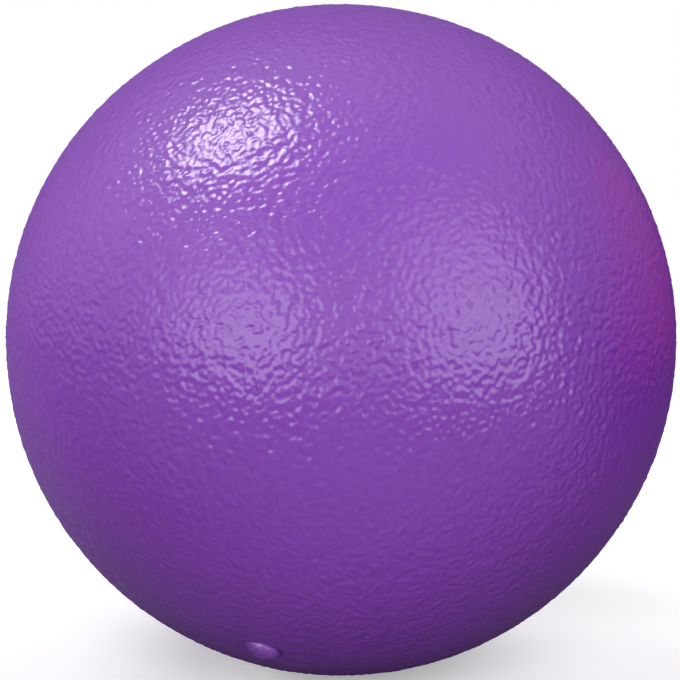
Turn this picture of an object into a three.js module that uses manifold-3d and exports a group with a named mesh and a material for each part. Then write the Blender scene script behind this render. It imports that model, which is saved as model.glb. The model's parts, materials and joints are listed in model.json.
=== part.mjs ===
// Coated foam ball: a soft foam core, an elastomer skin sprayed all round it, and the
// drop of elastomer that seals the hole of the spike that held the ball during spraying.
// Millimetres, +Z up, origin at the centre of the ball.

import * as THREE from "three";
import { mergeVertices } from "three/addons/utils/BufferGeometryUtils.js";
import Module from "manifold-3d";

// Ball, its skin, and the clearance between the skin and the core that it coats
const BALL_DIAMETER = 160;
const SKIN_THICKNESS = 0.6;
const BOND_GAP = 0.3;

// Patch on which the soft ball flattens under its own weight
const CONTACT_DIAMETER = 20;

// Tapered hole that the spike left, and the seal plug that fills it. The plug's end is a drop
// that stands up from the bottom of the navel and reaches past the edge of the hole.
const SPIKE_HOLE_DIAMETER = 4.4;
const SPIKE_TIP_DIAMETER = 2.4;
const SPIKE_LENGTH = 18;
const PLUG_CLEARANCE = 0.3;
const DROP_OVERLAP = 2.2;
const DROP_HEIGHT = 3.2;

// Navel: a shallow dish with a rolled lip round the drop, where the spike was drawn out.
// It points down and to the front, by degrees from straight down and from -Y towards -X.
const NAVEL_RIM_WIDTH = 2;
const NAVEL_DEPTH = 1.4;
const CORE_LIP_RADIUS = 0.5;
const NAVEL_TILT = 36.3;
const NAVEL_TURN = 22.8;

// Facets of the round surfaces
const FACETS_AROUND_BALL = 48;
const FACETS_AROUND_SPIKE = 20;
const BALL_ROWS = 30;
const LIP_ROWS = 3;
const BOWL_ROWS = 5;
const TIP_ROWS = 4;
const FACETS_AROUND_DROP = 32;
const DROP_ROWS = 6;

// Colours and finishes
const SKIN_LOOK = { color: 0x7d37ad, roughness: 0.42, metalness: 0 };
const PLUG_LOOK = { color: 0x7b42a4, roughness: 0.38, metalness: 0 };
const FOAM_LOOK = { color: 0xd8d2b4, roughness: 0.95, metalness: 0 };

const wasm = await Module();
wasm.setup();

const quarterTurn = Math.PI / 2;
const ballRadius = BALL_DIAMETER / 2;
const contactRadius = CONTACT_DIAMETER / 2;
const contactDepth = ballRadius - Math.sqrt(ballRadius ** 2 - contactRadius ** 2);
const coreOffset = SKIN_THICKNESS + BOND_GAP;

const tilt = THREE.MathUtils.degToRad(NAVEL_TILT);
const turn = THREE.MathUtils.degToRad(NAVEL_TURN);
const navelAxis = new THREE.Vector3(
  -Math.sin(tilt) * Math.sin(turn),
  -Math.sin(tilt) * Math.cos(turn),
  -Math.cos(tilt),
);
const latheAxis = new THREE.Vector3(0, 1, 0);
const toNavel = new THREE.Quaternion().setFromUnitVectors(latheAxis, navelAxis);

// The navel's section is a concave bowl arc centred on the axis, joined to the ball by a
// convex lip arc that touches both. The lip is the core's own edge, rounded out by the skin.
const lipRadius = CORE_LIP_RADIUS + coreOffset;
const lipReach = ballRadius - lipRadius;
const dropRadius = SPIKE_HOLE_DIAMETER / 2 + DROP_OVERLAP;
const mouthRadius = dropRadius + NAVEL_RIM_WIDTH;
const mouthAngle = Math.asin(mouthRadius / ballRadius);
const lipX = lipReach * Math.sin(mouthAngle);
const lipY = lipReach * Math.cos(mouthAngle);
const bowlBottom = ballRadius - NAVEL_DEPTH;
const lipDrop = lipY - bowlBottom;
const bowlRadius = (lipX ** 2 + lipDrop ** 2 - lipRadius ** 2) / (2 * (lipRadius + lipDrop));
const bowlY = bowlBottom + bowlRadius;
const touchAngle = Math.atan2(bowlY - lipY, -lipX);

// Points of an arc about (x, y), from one angle to another
function arcPoints(x, y, radius, fromAngle, toAngle, rows) {
  const clockwise = toAngle < fromAngle;
  return new THREE.EllipseCurve(x, y, radius, radius, fromAngle, toAngle, clockwise).getPoints(rows);
}

// Solid of a closed geometry, with its shared vertices merged and its empty triangles left out
function toSolid(geometry) {
  geometry.deleteAttribute("normal");
  geometry.deleteAttribute("uv");
  const merged = mergeVertices(geometry);
  const corners = merged.index.array;
  const triVerts = [];
  for (let i = 0; i < corners.length; i += 3) {
    const [a, b, c] = [corners[i], corners[i + 1], corners[i + 2]];
    if (a !== b && b !== c && c !== a) {
      triVerts.push(a, b, c);
    }
  }
  return new wasm.Manifold(
    new wasm.Mesh({
      numProp: 3,
      vertProperties: new Float32Array(merged.attributes.position.array),
      triVerts: new Uint32Array(triVerts),
    }),
  );
}

// Revolves a section that starts and ends on the axis, and turns it to point at the navel
function revolveAtNavel(points, facets) {
  points[0].x = 0;
  points[points.length - 1].x = 0;
  return toSolid(new THREE.LatheGeometry(points, facets).applyQuaternion(toNavel));
}

// Everything below the plane that the ball rests on, set in from the outside by an offset
function groundBelow(offset) {
  const depth = BALL_DIAMETER;
  const top = -(ballRadius - contactDepth - offset);
  const block = new THREE.BoxGeometry(2 * BALL_DIAMETER, 2 * BALL_DIAMETER, depth);
  return toSolid(block.translate(0, 0, top - depth / 2));
}

// Ball with its navel and its contact patch, set in from the outside by an offset
function ballSolid(offset) {
  const section = [
    ...arcPoints(0, 0, ballRadius - offset, -quarterTurn, quarterTurn - mouthAngle, BALL_ROWS),
    ...arcPoints(lipX, lipY, lipRadius - offset, quarterTurn - mouthAngle, touchAngle, LIP_ROWS).slice(1),
    ...arcPoints(0, bowlY, bowlRadius + offset, touchAngle - Math.PI, -quarterTurn, BOWL_ROWS).slice(1),
  ];
  return revolveAtNavel(section, FACETS_AROUND_BALL).subtract(groundBelow(offset));
}

// Spike with a round tip, from above the ball's surface down to its length, grown by a clearance
function spikeSolid(clearance) {
  const tipRadius = SPIKE_TIP_DIAMETER / 2 + clearance;
  const tipY = bowlBottom - SPIKE_LENGTH + SPIKE_TIP_DIAMETER / 2;
  const section = [
    ...arcPoints(0, tipY, tipRadius, -quarterTurn, 0, TIP_ROWS),
    new THREE.Vector2(SPIKE_HOLE_DIAMETER / 2 + clearance, bowlBottom),
    new THREE.Vector2(SPIKE_HOLE_DIAMETER / 2 + clearance, ballRadius + NAVEL_DEPTH),
    new THREE.Vector2(0, ballRadius + NAVEL_DEPTH),
  ];
  return revolveAtNavel(section, FACETS_AROUND_SPIKE);
}

// Drop: half an ellipse turned about the axis, with its edge down on the bowl
function dropSolid() {
  const edgeY = bowlY - Math.sqrt(bowlRadius ** 2 - dropRadius ** 2);
  const crown = bowlBottom + DROP_HEIGHT - edgeY;
  const curve = new THREE.EllipseCurve(0, edgeY, dropRadius, crown, 0, quarterTurn);
  const section = [new THREE.Vector2(0, bowlBottom - SKIN_THICKNESS), ...curve.getPoints(DROP_ROWS)];
  return revolveAtNavel(section, FACETS_AROUND_DROP);
}

// Named mesh of a finished solid
function meshOf(name, solid, look) {
  const { vertProperties, triVerts } = solid.getMesh();
  const geometry = new THREE.BufferGeometry();
  geometry.setAttribute("position", new THREE.BufferAttribute(vertProperties, 3));
  geometry.setIndex(new THREE.BufferAttribute(triVerts, 1));
  geometry.computeVertexNormals();
  const mesh = new THREE.Mesh(geometry, new THREE.MeshStandardMaterial(look));
  mesh.name = name;
  return mesh;
}

const outside = ballSolid(0);
const spikeHole = spikeSolid(PLUG_CLEARANCE);

// Core: one block of foam with the spike's hole in it
const core = ballSolid(coreOffset).subtract(spikeHole);

// Skin: an even coat over the core, open only at the spike's hole
const skin = outside.subtract(ballSolid(SKIN_THICKNESS)).subtract(spikeHole);

// Plug: what set in the hole, with the drop at its end resting on the skin round the hole
const drop = dropSolid();
const plug = spikeSolid(0).intersect(outside.add(drop)).add(drop.subtract(ballSolid(-PLUG_CLEARANCE)));

const ball = new THREE.Group();
ball.add(meshOf("foam_core", core, FOAM_LOOK));
ball.add(meshOf("skin", skin, SKIN_LOOK));
ball.add(meshOf("seal_plug", plug, PLUG_LOOK));

export default ball;
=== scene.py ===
import json
import math

import bpy
import numpy as np
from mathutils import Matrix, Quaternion, Vector, noise


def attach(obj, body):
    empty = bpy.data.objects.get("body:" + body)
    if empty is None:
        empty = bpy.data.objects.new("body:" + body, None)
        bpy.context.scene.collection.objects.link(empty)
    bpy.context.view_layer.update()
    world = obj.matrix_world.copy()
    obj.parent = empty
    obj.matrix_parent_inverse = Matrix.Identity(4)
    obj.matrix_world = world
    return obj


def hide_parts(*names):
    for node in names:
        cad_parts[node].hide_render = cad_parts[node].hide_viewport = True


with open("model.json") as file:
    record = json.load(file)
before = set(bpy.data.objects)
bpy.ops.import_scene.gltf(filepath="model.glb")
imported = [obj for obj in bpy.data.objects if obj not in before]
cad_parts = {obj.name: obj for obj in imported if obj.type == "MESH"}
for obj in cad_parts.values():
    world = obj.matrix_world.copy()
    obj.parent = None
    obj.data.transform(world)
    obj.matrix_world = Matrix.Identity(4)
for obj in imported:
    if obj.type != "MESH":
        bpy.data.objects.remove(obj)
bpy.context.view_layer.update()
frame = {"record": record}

# Foam core: one ball of soft open-cell polyurethane foam, ground round from a block. The spike
# that held it for spraying left the tapered hole in it, and dished its surface at the navel.
# The coat is bonded to it all over, so it is out of sight.
MM = 0.001
BALL_RADIUS = 80 * MM
SKIN_THICKNESS = 0.6 * MM
BOND_GAP = 0.3 * MM
NAVEL_MOUTH_RADIUS = 6.4 * MM
NAVEL_DEPTH = 1.4 * MM
NAVEL_TILT = math.radians(36.3)      # from straight down
NAVEL_TURN = math.radians(22.8)      # from -Y towards -X
CORE_LIP_RADIUS = 0.5 * MM
SPIKE_RADIUS = 2.2 * MM
SPIKE_TIP_RADIUS = 1.2 * MM
SPIKE_LENGTH = 18 * MM
PLUG_CLEARANCE = 0.3 * MM
CORE_CELL = 1.3 * MM
CORE_CELL_RELIEF = 0.12 * MM
PORE_SHARE = 0.5                     # radius of a pore, in cells
CORE_SPACING = 1.6 * MM              # of the points of its mesh
LEAST_ARC_STEPS = 4
LEAST_RING_POINTS = 8
POLE_RADIUS = 0.01 * MM              # a ring smaller than this is one point
QUARTER = math.pi / 2

floor_height = frame["record"]["mounts"][0]["pos_m"][2]
navel_axis = Vector((
    -math.sin(NAVEL_TILT) * math.sin(NAVEL_TURN),
    -math.sin(NAVEL_TILT) * math.cos(NAVEL_TURN),
    -math.cos(NAVEL_TILT),
))
side_axis = navel_axis.orthogonal().normalized()
cross_axis = navel_axis.cross(side_axis)
to_frame = np.array([side_axis, cross_axis, navel_axis])

# The navel's section: a concave bowl arc on the axis and a convex lip arc that touches it and the ball
core_inset = SKIN_THICKNESS + BOND_GAP
lip_radius = CORE_LIP_RADIUS + core_inset
mouth_angle = math.asin(NAVEL_MOUTH_RADIUS / BALL_RADIUS)
lip_x = (BALL_RADIUS - lip_radius) * math.sin(mouth_angle)
lip_y = (BALL_RADIUS - lip_radius) * math.cos(mouth_angle)
bowl_bottom = BALL_RADIUS - NAVEL_DEPTH
lip_drop = lip_y - bowl_bottom
bowl_radius = (lip_x ** 2 + lip_drop ** 2 - lip_radius ** 2) / (2 * (lip_radius + lip_drop))
bowl_y = bowl_bottom + bowl_radius
touch_angle = math.atan2(bowl_y - lip_y, -lip_x)


def arc(x, y, radius, start, end, spacing):
    """Points of an arc in a section, about a spacing apart: (distance from the axis, height along it)."""
    steps = max(LEAST_ARC_STEPS, math.ceil(abs(end - start) * radius / spacing))
    angles = np.linspace(start, end, steps + 1)
    return np.column_stack([x + radius * np.cos(angles), y + radius * np.sin(angles)])


def ball_section(inset, spacing, hole_radius):
    """Half section of the ball, set in from its outside, from the far pole to the hole in the navel."""
    section = np.vstack([
        arc(0, 0, BALL_RADIUS - inset, -QUARTER, QUARTER - mouth_angle, spacing),
        arc(lip_x, lip_y, lip_radius - inset, QUARTER - mouth_angle, touch_angle, spacing)[1:],
        arc(0, bowl_y, bowl_radius + inset, touch_angle - math.pi,
            math.asin(hole_radius / (bowl_radius + inset)) - QUARTER, spacing)[1:],
    ])
    section[0, 0] = 0
    return section


def ring_count(distance, spacing):
    """How many points, about a spacing apart, go round the axis at a distance from it."""
    if distance < POLE_RADIUS:
        return 1
    return max(LEAST_RING_POINTS, round(2 * math.pi * distance / spacing))


def stitch(low, low_count, high, high_count):
    """Triangles between two rings of points, each given by its first index and its count."""
    flip = low_count < high_count
    edge, edges, tip, tips = low, low_count, high, high_count
    if flip:
        edge, edges, tip, tips = high, high_count, low, low_count
    here = np.arange(edges)
    apex = np.floor((here + 0.5) * tips / edges + 0.5).astype(int)
    before = np.concatenate([[apex[-1] - tips], apex[:-1]])
    moved = apex != before
    triangles = np.vstack([
        np.column_stack([edge + here, edge + (here + 1) % edges, tip + apex % tips]),
        np.column_stack([edge + here, tip + apex % tips, tip + before % tips])[moved],
    ])
    return triangles[:, ::-1] if flip else triangles


def turned(section, spacing):
    """Points and triangles of a section turned about the navel's axis, one ring for each of its points."""
    points, triangles, start, last = [], [], 0, None
    for (distance, height), gap in zip(section, np.broadcast_to(spacing, len(section))):
        count = ring_count(distance, gap)
        angles = np.arange(count) * 2 * math.pi / count
        ring = np.column_stack([distance * np.cos(angles), distance * np.sin(angles), np.full(count, height)])
        points.append(ring @ to_frame)
        if last:
            triangles.append(stitch(start - last, last, start, count))
        start, last = start + count, count
    triangles = np.vstack(triangles)
    a, b, c = triangles.T
    return np.vstack(points), triangles[(a != b) & (b != c) & (c != a)]


def spike_section(clearance, spacing):
    """Half section of the spike's hole, grown by a clearance, from its round tip up to the navel's bowl."""
    tip_radius = SPIKE_TIP_RADIUS + clearance
    tip_y = bowl_bottom - SPIKE_LENGTH + SPIKE_TIP_RADIUS
    tip = arc(0, tip_y, tip_radius, -QUARTER, 0, spacing)
    rows = math.ceil((bowl_bottom - tip_y) / spacing)
    wall = np.column_stack([
        np.linspace(tip_radius, SPIKE_RADIUS + clearance, rows + 1),
        np.linspace(tip_y, bowl_bottom, rows + 1),
    ])
    tip[0, 0] = 0
    return np.vstack([tip, wall[1:]])


def add_piece(name, points, triangles):
    """A smooth mesh object of these points and triangles."""
    mesh = bpy.data.meshes.new(name)
    mesh.from_pydata(points.tolist(), [], triangles.tolist())
    mesh.shade_smooth()
    piece = bpy.data.objects.new(name, mesh)
    bpy.context.scene.collection.objects.link(piece)
    return piece


def linear(colour):
    """Linear RGBA of an sRGB hex colour."""
    shares = [int(colour[i:i + 2], 16) / 255 for i in (1, 3, 5)]
    return [s / 12.92 if s <= 0.04045 else ((s + 0.055) / 1.055) ** 2.4 for s in shares] + [1]


def add_node(tree, kind, inputs=None, **options):
    """Adds a node, sets its options, and sets or links its inputs."""
    node = tree.nodes.new(kind)
    for name, value in options.items():
        setattr(node, name, value)
    for name, value in (inputs or {}).items():
        if isinstance(value, bpy.types.NodeSocket):
            tree.links.new(value, node.inputs[name])
        else:
            node.inputs[name].default_value = value
    return node


hole_radius = SPIKE_RADIUS + PLUG_CLEARANCE
core_outside = ball_section(core_inset, CORE_SPACING, hole_radius)
core_hole = spike_section(PLUG_CLEARANCE, CORE_SPACING)
core_hole = core_hole[core_hole[:, 1] < core_outside[-1, 1] - CORE_SPACING / 2][::-1]
core_points, core_triangles = turned(np.vstack([core_outside, core_hole]), CORE_SPACING)

# The mesh is coarser than the cells, so it is only roughened by them, and the material draws the pores
for point in core_points:
    from_pore = noise.voronoi(Vector(point) / CORE_CELL)[0][0]
    point *= 1 - CORE_CELL_RELIEF / BALL_RADIUS * max(0, 1 - from_pore / PORE_SHARE)
core_points[:, 2] = np.maximum(core_points[:, 2], floor_height + core_inset)
core = add_piece("ball_core", core_points, core_triangles)

# Polyurethane foam, cut open: dull cream, with painted shade making the cut cells' pores darker than their
# walls
foam = bpy.data.materials.new("cut_polyurethane_foam")
foam.use_nodes = True
tree = foam.node_tree
shader = tree.nodes["Principled BSDF"]
place = add_node(tree, "ShaderNodeTexCoord")
cells = add_node(tree, "ShaderNodeTexVoronoi", {"Vector": place.outputs["Object"], "Scale": 1 / CORE_CELL})
# painted shade: the ramp colours the pores darker than the cell walls
pore_shade = add_node(tree, "ShaderNodeValToRGB", {"Fac": cells.outputs["Distance"]})
pore_shade.color_ramp.elements[0].color = linear("#9C9068")
pore_shade.color_ramp.elements[1].color = linear("#E4DCC0")
pore_shade.color_ramp.elements[1].position = PORE_SHARE
tree.links.new(pore_shade.outputs["Color"], shader.inputs["Base Color"])
relief = add_node(tree, "ShaderNodeBump", {
    "Height": cells.outputs["Distance"], "Distance": CORE_CELL_RELIEF})
tree.links.new(relief.outputs["Normal"], shader.inputs["Normal"])
shader.inputs["Roughness"].default_value = 0.95
shader.inputs["IOR"].default_value = 1.5
core.data.materials.append(foam)
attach(core, "root")
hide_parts("foam_core")

# Skin: coloured polyurethane elastomer, sprayed on in several passes and cured on the foam. It
# shrinks to a leathery pebbled grain, pools smooth in the navel, and is open at the spike's hole.
SKIN_SPACING = 0.42 * MM
LINING_SPACING = 2 * MM
GRAIN_WAVE = 2.15 * MM
GRAIN_SLOPE = math.radians(6.6)
COARSE_WAVE = 4.6 * MM
COARSE_SLOPE = math.radians(1.2)
GLOSS_GRAIN_WAVE = 2.3 * MM
GLOSS_GRAIN_SLOPE = math.radians(3.2)
OUT_OF_ROUND = 0.3 * MM
OUT_OF_ROUND_WAVE = 45 * MM
NAVEL_GRAIN = 0.35           # share of the grain that is left in the navel
NAVEL_GRAIN_END = 0.7        # where the grain starts to grow from that, in mouth radii from the axis
NAVEL_GRAIN_GROWTH = 1.5     # and by how much of the grain in each mouth radius
NOISE_WAVE = 1.81            # wave of the noise, in its own cells
NOISE_SLOPE = 0.964          # slope of two layers of the noise for each cell
TEXTURE_SLOPE = 0.34         # slope of the noise texture for each cell
SECOND_LAYER_TURN = Quaternion((0.3, 0.5, -0.4, 0.7))
# Where the darkest and lightest colours are reached: on the skin the darker one is a painted shade in the
# grain's hollows
HOLLOW_LEVEL = -0.9          # height of the noise that takes the colour of a hollow
RIDGE_LEVEL = 0.4            # and of a ridge
GLOSS_FULL_SLANT = 0.4       # slant of the view, 1 along the surface, up to which the gloss is full
GLOSS_GONE_SLANT = 1.4       # and at which it would be gone, so that the ball's edge keeps some

skin_outside = ball_section(0, SKIN_SPACING, hole_radius)
skin_lining = ball_section(SKIN_THICKNESS, LINING_SPACING, hole_radius)[::-1]
skin_gaps = np.repeat([SKIN_SPACING, LINING_SPACING], [len(skin_outside), len(skin_lining)])
skin_points, skin_triangles = turned(np.vstack([skin_outside, skin_lining]), skin_gaps)
outer_count = sum(ring_count(distance, SKIN_SPACING) for distance, height in skin_outside)
grain_cell = GRAIN_WAVE / NOISE_WAVE
grain_relief = GRAIN_SLOPE * grain_cell / NOISE_SLOPE
coarse_cell = COARSE_WAVE / NOISE_WAVE
coarse_relief = COARSE_SLOPE * coarse_cell / NOISE_SLOPE * math.sqrt(2)    # it is one layer of noise
gloss_relief = GLOSS_GRAIN_SLOPE * GLOSS_GRAIN_WAVE / NOISE_WAVE / TEXTURE_SLOPE
along_axis = skin_points @ np.array(navel_axis) / np.linalg.norm(skin_points, axis=1)
from_navel = np.arccos(np.clip(along_axis, -1, 1)) / mouth_angle
grain_share = np.clip(NAVEL_GRAIN + (from_navel - NAVEL_GRAIN_END) * NAVEL_GRAIN_GROWTH, NAVEL_GRAIN, 1)
second_turn = SECOND_LAYER_TURN.normalized().to_matrix()
grain_heights = np.zeros(len(skin_points))
swells = np.zeros(len(skin_points))
for i, point in enumerate(skin_points):
    spot = Vector(point)
    swells[i] = noise.noise(spot / OUT_OF_ROUND_WAVE)
    if i < outer_count:
        swells[i] += coarse_relief / OUT_OF_ROUND * noise.noise(spot / coarse_cell)
        spot /= grain_cell
        grain_heights[i] = noise.noise(spot) + noise.noise(second_turn @ spot)
heights = OUT_OF_ROUND * swells + grain_relief * grain_heights * grain_share
skin_points *= 1 + heights[:, None] / BALL_RADIUS
lowest = np.where(np.arange(len(skin_points)) < outer_count, floor_height, floor_height + SKIN_THICKNESS)
skin_points[:, 2] = np.maximum(skin_points[:, 2], lowest)
skin = add_piece("ball_skin", skin_points, skin_triangles)


def elastomer(name, piece, heights, hollow_shade_and_mottle, ridge_tone_and_mottle, roughness):
    """Gives a piece cured elastomer, darker at low heights: painted shade in the skin's hollows, mottle on
    the plug.
    """
    piece.data.attributes.new("grain", "FLOAT", "POINT").data.foreach_set("value", heights)
    material = bpy.data.materials.new(name)
    material.use_nodes = True
    tree = material.node_tree
    shader = tree.nodes["Principled BSDF"]
    height = add_node(tree, "ShaderNodeAttribute", attribute_name="grain")
    level = add_node(tree, "ShaderNodeMapRange", {
        "Value": height.outputs["Fac"], "From Min": HOLLOW_LEVEL, "From Max": RIDGE_LEVEL})
    # painted shade: low heights take the darker colour, so the skin's hollows come out darker; on the plug
    # the heights are a mottle
    shade = add_node(tree, "ShaderNodeValToRGB", {"Fac": level.outputs[0]})
    shade.color_ramp.elements[0].color = linear(hollow_shade_and_mottle)
    shade.color_ramp.elements[1].color = linear(ridge_tone_and_mottle)
    tree.links.new(shade.outputs["Color"], shader.inputs["Base Color"])
    place = add_node(tree, "ShaderNodeTexCoord")
    grain = add_node(tree, "ShaderNodeTexNoise", {
        "Vector": place.outputs["Object"], "Scale": NOISE_WAVE / GLOSS_GRAIN_WAVE, "Detail": 0.0})
    relief = add_node(tree, "ShaderNodeBump", {"Height": grain.outputs["Fac"], "Distance": gloss_relief})
    tree.links.new(relief.outputs["Normal"], shader.inputs["Coat Normal"])
    slant = add_node(tree, "ShaderNodeLayerWeight", {"Blend": 0.5})
    gloss = add_node(tree, "ShaderNodeMapRange", {
        "Value": slant.outputs["Facing"], "From Min": GLOSS_FULL_SLANT, "From Max": GLOSS_GONE_SLANT,
        "To Min": 1.0, "To Max": 0.0})
    tree.links.new(gloss.outputs[0], shader.inputs["Coat Weight"])
    shader.inputs["Coat Roughness"].default_value = roughness
    shader.inputs["Coat IOR"].default_value = 1.6
    shader.inputs["Specular IOR Level"].default_value = 0.0
    shader.inputs["Roughness"].default_value = 0.6
    piece.data.materials.append(material)


# Sprayed polyurethane elastomer, cured: violet all through, with a painted shade in the grain's hollows, and
# a wet-looking satin gloss that breaks into glints on the grain, and that the grain hides where it is
# looked at along the surface
elastomer("sprayed_polyurethane_elastomer", skin, grain_heights, "#7B35AA", "#7F38B0", 0.17)
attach(skin, "root")
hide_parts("skin")

# Seal plug: the elastomer that was let into the spike's hole and set there. Its end stands up as
# a round drop, which wets the skin a little past the edge of the hole.
PLUG_SPACING = 0.2 * MM
PLUG_FILM = 0.02 * MM                # between the plug's surface and the one that it bonds to
DROP_RADIUS = 4.4 * MM
DROP_HEIGHT = 3.2 * MM
DROP_UNEVEN = 0.2 * MM
DROP_UNEVEN_WAVE = 3.5 * MM
DROP_MOTTLE_WAVE = 1.6 * MM
STEEP_SIDE = Vector((0.692, -0.674, 0.259))    # the drop has slumped away from this side
STEEP_POWER = 0.55                   # its height there is raised to this power,
GENTLE_POWER = 2.2                   # and to this one on the far side

plug_side = spike_section(PLUG_CLEARANCE - PLUG_FILM, PLUG_SPACING)
plug_foot = arc(0, bowl_y, bowl_radius + PLUG_FILM, math.asin(hole_radius / bowl_radius) - QUARTER,
                math.asin(DROP_RADIUS / bowl_radius) - QUARTER, PLUG_SPACING)
drop_edge = bowl_y - math.sqrt(bowl_radius ** 2 - DROP_RADIUS ** 2)
drop_crown = bowl_bottom + DROP_HEIGHT - drop_edge
drop_end = arc(0, 0, 1, 0, QUARTER, PLUG_SPACING / DROP_RADIUS) * (DROP_RADIUS, drop_crown) + (0, drop_edge)
drop_end[-1, 0] = 0
plug_side = plug_side[plug_side[:, 1] < plug_foot[0, 1]]
plug_points, plug_triangles = turned(np.vstack([plug_side, plug_foot, drop_end]), PLUG_SPACING)
steep_side = (STEEP_SIDE - navel_axis * STEEP_SIDE.dot(navel_axis)).normalized()
mottle = np.zeros(len(plug_points))
for i, point in enumerate(plug_points):
    spot = Vector(point)
    mottle[i] = noise.noise(spot * NOISE_WAVE / DROP_MOTTLE_WAVE)
    raised = (spot.dot(navel_axis) - drop_edge) / drop_crown
    if raised > 0:
        aside = spot - navel_axis * spot.dot(navel_axis)
        facing = aside.normalized().dot(steep_side)
        slumped = raised ** (STEEP_POWER + (GENTLE_POWER - STEEP_POWER) * (1 - facing) / 2)
        uneven = DROP_UNEVEN * raised * noise.noise(spot * NOISE_WAVE / DROP_UNEVEN_WAVE)
        point += np.array(navel_axis) * (drop_crown * (slumped - raised) + uneven)
plug = add_piece("ball_seal_plug", plug_points, plug_triangles)

# The same elastomer, dabbed on as a drop: duller and mottled, with one soft glint along its steep side
elastomer("dabbed_polyurethane_elastomer", plug, mottle, "#763B9F", "#814BA9", 0.16)
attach(plug, "root")
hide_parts("seal_plug")

# Floor: a wide sheet of white paper under the ball. The camera sees it white with the ball's shadow
# on it, and plain white further off. In the ball's gloss it shows a painted shade, pale in front and
# darkening to the right, and it throws little light back up.
FLOOR_HALF_WIDTH = 6.0
SHADOW_REACH = 0.2                   # the paper starts to fade to plain white at this distance,
WHITE_REACH = 0.7                    # and is plain white from this one on
PAPER_LIFT = 0.3                     # white that is added to the paper, so that its shadow is pale
TO_KEY = (-0.8, -0.6, 0)             # how the floor's level rises in each metre towards the key lamp,
TO_CAMERA = (0, -2, 0)               # towards the camera
TO_LEFT = (-0.4, 0, 0)               # and to the left
CAMERA_DELAY = 0.06                  # what the level towards the camera has to rise before it counts
LEFT_START = 0.03                    # level of the left side at the ball's foot
LEFT_MOST = 0.06                     # and the most that it reaches
BOUNCE_LEVELS = (-0.12, 0.004)       # of the darkest and the lightest grey that it throws back
SHEEN_LEVELS = (-0.06, 0.32)         # and of those that it shows in the gloss
SHEEN_GREYS = ((0.16, "#737373"), (0.29, "#8E8E8E"), (0.5, "#AEAEAE"), (0.68, "#BCBCBC"))

corners = [(-1, -1), (1, -1), (1, 1), (-1, 1)]
floor_mesh = bpy.data.meshes.new("floor")
floor_mesh.from_pydata(
    [(x * FLOOR_HALF_WIDTH, y * FLOOR_HALF_WIDTH, 0) for x, y in corners], [], [(0, 1, 2, 3)])
floor = bpy.data.objects.new("floor", floor_mesh)
floor.location.z = floor_height
bpy.context.scene.collection.objects.link(floor)

# White paper, matt: white to the camera, with a soft grey shadow, and painted greys in reflections
paper = bpy.data.materials.new("white_paper")
paper.use_nodes = True
tree = paper.node_tree
tree.nodes.clear()
rays = add_node(tree, "ShaderNodeLightPath")
seen = add_node(tree, "ShaderNodeMath", {
    0: rays.outputs["Is Camera Ray"], 1: rays.outputs["Is Glossy Ray"]}, operation="MAXIMUM")
seen = add_node(tree, "ShaderNodeMath", {
    0: seen.outputs[0], 1: rays.outputs["Is Transmission Ray"]}, operation="MAXIMUM")
place = add_node(tree, "ShaderNodeTexCoord")
away = add_node(tree, "ShaderNodeVectorMath", {0: place.outputs["Object"]}, operation="LENGTH")
far = add_node(tree, "ShaderNodeMapRange", {
    "Value": away.outputs["Value"], "From Min": SHADOW_REACH, "From Max": WHITE_REACH},
    interpolation_type="SMOOTHSTEP")
sheet = add_node(tree, "ShaderNodeBsdfDiffuse", {"Color": linear("#F0F0F0")})
lift = add_node(tree, "ShaderNodeEmission", {"Color": linear("#FFFFFF"), "Strength": PAPER_LIFT})
near = add_node(tree, "ShaderNodeAddShader", {0: sheet.outputs[0], 1: lift.outputs[0]})
glow = add_node(tree, "ShaderNodeEmission", {"Color": linear("#FFFFFF"), "Strength": 1.0})
white = add_node(tree, "ShaderNodeMixShader", {0: far.outputs[0], 1: near.outputs[0], 2: glow.outputs[0]})
ahead = add_node(tree, "ShaderNodeVectorMath", {
    0: place.outputs["Object"], 1: TO_CAMERA}, operation="DOT_PRODUCT")
ahead = add_node(tree, "ShaderNodeMath", {0: ahead.outputs["Value"], 1: CAMERA_DELAY}, operation="SUBTRACT")

# The light that it throws back: a dark grey, with a painted shade that makes it darker away from the key lamp
aside = add_node(tree, "ShaderNodeVectorMath", {
    0: place.outputs["Object"], 1: TO_KEY}, operation="DOT_PRODUCT")
lit_side = add_node(tree, "ShaderNodeMath", {
    0: aside.outputs["Value"], 1: ahead.outputs[0]}, operation="MAXIMUM")
lit_share = add_node(tree, "ShaderNodeMapRange", {
    "Value": lit_side.outputs[0], "From Min": BOUNCE_LEVELS[0], "From Max": BOUNCE_LEVELS[1]})
# painted shade: the paper's bounce colour darkens away from the key lamp
bounce = add_node(tree, "ShaderNodeValToRGB", {"Fac": lit_share.outputs[0]})
bounce.color_ramp.elements[0].color = linear("#101010")
bounce.color_ramp.elements[1].color = linear("#585858")
bounce = add_node(tree, "ShaderNodeBsdfDiffuse", {"Color": bounce.outputs["Color"]})

# Its reflection in the gloss, a painted shade: pale ahead, a middle grey on the left, dark on the right
flank = add_node(tree, "ShaderNodeVectorMath", {
    0: place.outputs["Object"], 1: TO_LEFT}, operation="DOT_PRODUCT")
flank = add_node(tree, "ShaderNodeMath", {0: flank.outputs["Value"], 1: LEFT_START}, operation="ADD")
flank = add_node(tree, "ShaderNodeMath", {0: flank.outputs[0], 1: LEFT_MOST}, operation="MINIMUM")
painted_sheen_side = add_node(tree, "ShaderNodeMath", {
    0: flank.outputs[0], 1: ahead.outputs[0]}, operation="MAXIMUM")
painted_sheen_share = add_node(tree, "ShaderNodeMapRange", {
    "Value": painted_sheen_side.outputs[0], "From Min": SHEEN_LEVELS[0], "From Max": SHEEN_LEVELS[1]})
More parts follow.
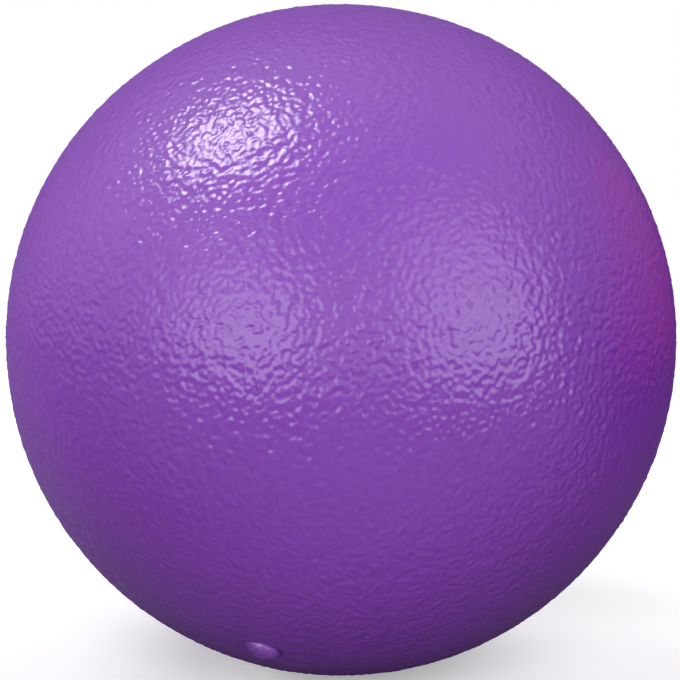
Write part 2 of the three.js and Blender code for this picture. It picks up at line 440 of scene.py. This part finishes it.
# painted reflection: these greys are what the ball's gloss sees of the paper, darker to the right
sheen = add_node(tree, "ShaderNodeValToRGB", {"Fac": painted_sheen_share.outputs[0]})
sheen.color_ramp.elements[0].color = linear("#282828")
sheen.color_ramp.elements[1].color = linear("#C3C3C3")
for position, colour in SHEEN_GREYS:
    sheen.color_ramp.elements.new(position).color = linear(colour)
sheen = add_node(tree, "ShaderNodeBsdfDiffuse", {"Color": sheen.outputs["Color"]})
white = add_node(tree, "ShaderNodeMixShader", {
    0: rays.outputs["Is Glossy Ray"], 1: white.outputs[0], 2: sheen.outputs[0]})
mixed = add_node(tree, "ShaderNodeMixShader", {0: seen.outputs[0], 1: bounce.outputs[0], 2: white.outputs[0]})
add_node(tree, "ShaderNodeOutputMaterial", {"Surface": mixed.outputs[0]})
floor.data.materials.append(paper)

# Camera: at the photograph's viewing angle, a little above the ball, framed so that the ball's
# outline falls where it does there.
CAMERA_DISTANCE = 0.8
CAMERA_ELEVATION = math.radians(12)
IMAGE_SIDE = 680
BALL_CENTRE_PIXEL = Vector((341.4, 339.3))
BALL_RADIUS_PIXELS = 335.27

focal_pixels = BALL_RADIUS_PIXELS * math.sqrt((CAMERA_DISTANCE / BALL_RADIUS) ** 2 - 1)
view_right = Vector((1, 0, 0))
view_up = Vector((0, math.sin(CAMERA_ELEVATION), math.cos(CAMERA_ELEVATION)))
view_back = Vector((0, -math.cos(CAMERA_ELEVATION), math.sin(CAMERA_ELEVATION)))
lens = bpy.data.cameras.new("camera")
lens.lens = focal_pixels * lens.sensor_width / IMAGE_SIDE
camera = bpy.data.objects.new("camera", lens)
camera.location = view_back * CAMERA_DISTANCE
off_centre = (Vector((IMAGE_SIDE / 2, IMAGE_SIDE / 2)) - BALL_CENTRE_PIXEL) * CAMERA_DISTANCE / focal_pixels
aim = view_right * off_centre.x - view_up * off_centre.y
camera.rotation_euler = (aim - camera.location).to_track_quat("-Z", "Y").to_euler()
bpy.context.scene.collection.objects.link(camera)
bpy.context.scene.camera = camera

# Key lamp: a bulb in an oval dish, high on the left, in front of a wide pale screen. The dish lights
# the ball, and all three show in its gloss.


def add_lamp(name, pixel, distance, half_angle, level, tall=1, roll=0,
             lights=True, reflected=True, colour="#FFFFFF"):
    """Adds an oval lamp, in metres and degrees, that the ball mirrors at a pixel of the picture.

    From there it is half_angle wide to each side, and tall times as high, turned by its roll.
    A round lamp lights white paper that faces it to its level. It may only light, or only be mirrored.
    """
    across = (Vector(pixel) - BALL_CENTRE_PIXEL) / focal_pixels
    ray = (view_right * across.x - view_up * across.y - view_back).normalized()
    along = -camera.location.dot(ray)
    reach = along - math.sqrt(along ** 2 - CAMERA_DISTANCE ** 2 + BALL_RADIUS ** 2)
    spot = camera.location + ray * reach
    mirrored = ray.reflect(spot.normalized())
    lamp = bpy.data.lights.new(name, "AREA")
    lamp.shape = "ELLIPSE"
    lamp.color = linear(colour)[:3]
    lamp.size = 2 * distance * math.tan(math.radians(half_angle))
    lamp.size_y = lamp.size * tall
    lamp.energy = level * (math.pi * distance / math.cos(math.radians(half_angle))) ** 2
    lamp_object = bpy.data.objects.new(name, lamp)
    lamp_object.location = spot + mirrored * distance
    lamp_object.rotation_euler = (-lamp_object.location).to_track_quat("-Z", "Y").to_euler()
    lamp_object.rotation_euler.rotate_axis("Z", math.radians(roll))
    lamp_object.visible_camera = False
    lamp_object.visible_diffuse = lights
    lamp_object.visible_glossy = reflected
    bpy.context.scene.collection.objects.link(lamp_object)


add_lamp("key_dish", pixel=(231, 140), distance=3.0, half_angle=15.3, level=0.34, tall=1.25, roll=-27)
add_lamp("key_bulb", pixel=(228, 139), distance=2.8, half_angle=9, level=0.175, lights=False)
add_lamp("key_screen", pixel=(231, 131), distance=3.2, half_angle=43, level=0.185, lights=False)

# Front lights: on each side a softbox, with a screen and a pale wall behind it. Each stands higher
# than the one before it, so that their reflection fades upwards. One of the three also lights the ball.
add_lamp("right_softbox", pixel=(479, 352), distance=0.7, half_angle=21.2, level=0.122, tall=1.2,
         lights=False)
add_lamp("right_screen", pixel=(480, 317), distance=1.0, half_angle=24.5, level=0.14, tall=1.24)
add_lamp("right_wall", pixel=(468, 290), distance=2.4, half_angle=28, level=0.18, tall=1.35, roll=12,
         lights=False)
add_lamp("left_softbox", pixel=(251, 337), distance=2.0, half_angle=19.5, level=0.134)
add_lamp("left_screen", pixel=(234, 322), distance=2.4, half_angle=26, level=0.118, tall=0.95, lights=False)
add_lamp("left_wall", pixel=(222, 312), distance=3.0, half_angle=29, level=0.085, tall=0.95, lights=False)

# Diffusers: three soft lights that fill the shadows, and that the gloss doesn't show. A small red
# card close by on the right shows only in the gloss, and gives that edge its rose tinge.
add_lamp("back_diffuser", pixel=(552, 140), distance=3.0, half_angle=35, level=0.62, reflected=False)
add_lamp("front_diffuser", pixel=(334, 338), distance=3.0, half_angle=28, level=0.9, reflected=False)
add_lamp("left_diffuser", pixel=(60, 237), distance=3.0, half_angle=9, level=0.57, reflected=False)
add_lamp("red_card", pixel=(644, 280), distance=0.42, half_angle=27, level=0.09, lights=False,
         colour="#FF3F38")

# Room: white to the camera and dim as a light. In the gloss it is white in front and grey behind the
# ball, and a dark curtain hangs at the right.
ROOM_LIGHT = 0.07
BACK_SHADE = 0.36                    # of the room straight behind the ball
BACK_START = 0.0                     # cosine of the angle to the camera's side where the grey starts
BACK_FULL = -0.9                     # and where it is full
CURTAIN_SHADE = 0.15
CURTAIN_SIDE = (0.80, 0.50, -0.33)   # right, back and down
CURTAIN_START = 0.4                  # cosine of the angle to that side where the curtain starts
CURTAIN_FULL = 0.95                  # and where it is full

world = bpy.data.worlds.new("room")
bpy.context.scene.world = world
world.use_nodes = True
tree = world.node_tree
tree.nodes.clear()
rays = add_node(tree, "ShaderNodeLightPath")
place = add_node(tree, "ShaderNodeTexCoord")
aside = add_node(tree, "ShaderNodeVectorMath", {
    0: place.outputs["Generated"], 1: CURTAIN_SIDE}, operation="DOT_PRODUCT")
curtain = add_node(tree, "ShaderNodeMapRange", {
    "Value": aside.outputs["Value"], "From Min": CURTAIN_START, "From Max": CURTAIN_FULL,
    "To Min": 1.0, "To Max": CURTAIN_SHADE})
front = add_node(tree, "ShaderNodeVectorMath", {
    0: place.outputs["Generated"], 1: view_back}, operation="DOT_PRODUCT")
behind = add_node(tree, "ShaderNodeMapRange", {
    "Value": front.outputs["Value"], "From Min": BACK_FULL, "From Max": BACK_START,
    "To Min": BACK_SHADE, "To Max": 1.0})
mirrored = add_node(tree, "ShaderNodeMath", {
    0: behind.outputs[0], 1: curtain.outputs[0]}, operation="MULTIPLY")
mirrored = add_node(tree, "ShaderNodeMath", {
    0: rays.outputs["Is Glossy Ray"], 1: mirrored.outputs[0]}, operation="MULTIPLY")
seen = add_node(tree, "ShaderNodeMath", {
    0: rays.outputs["Is Camera Ray"], 1: rays.outputs["Is Transmission Ray"]}, operation="MAXIMUM")
seen = add_node(tree, "ShaderNodeMath", {0: seen.outputs[0], 1: mirrored.outputs[0]}, operation="MAXIMUM")
dim = add_node(tree, "ShaderNodeMath", {0: curtain.outputs[0], 1: ROOM_LIGHT}, operation="MULTIPLY")
strength = add_node(tree, "ShaderNodeMath", {0: seen.outputs[0], 1: dim.outputs[0]}, operation="MAXIMUM")
glow = add_node(tree, "ShaderNodeBackground", {"Color": linear("#FFFFFF"), "Strength": strength.outputs[0]})
add_node(tree, "ShaderNodeOutputWorld", {"Surface": glow.outputs[0]})
bpy.context.scene.view_settings.view_transform = "Standard"
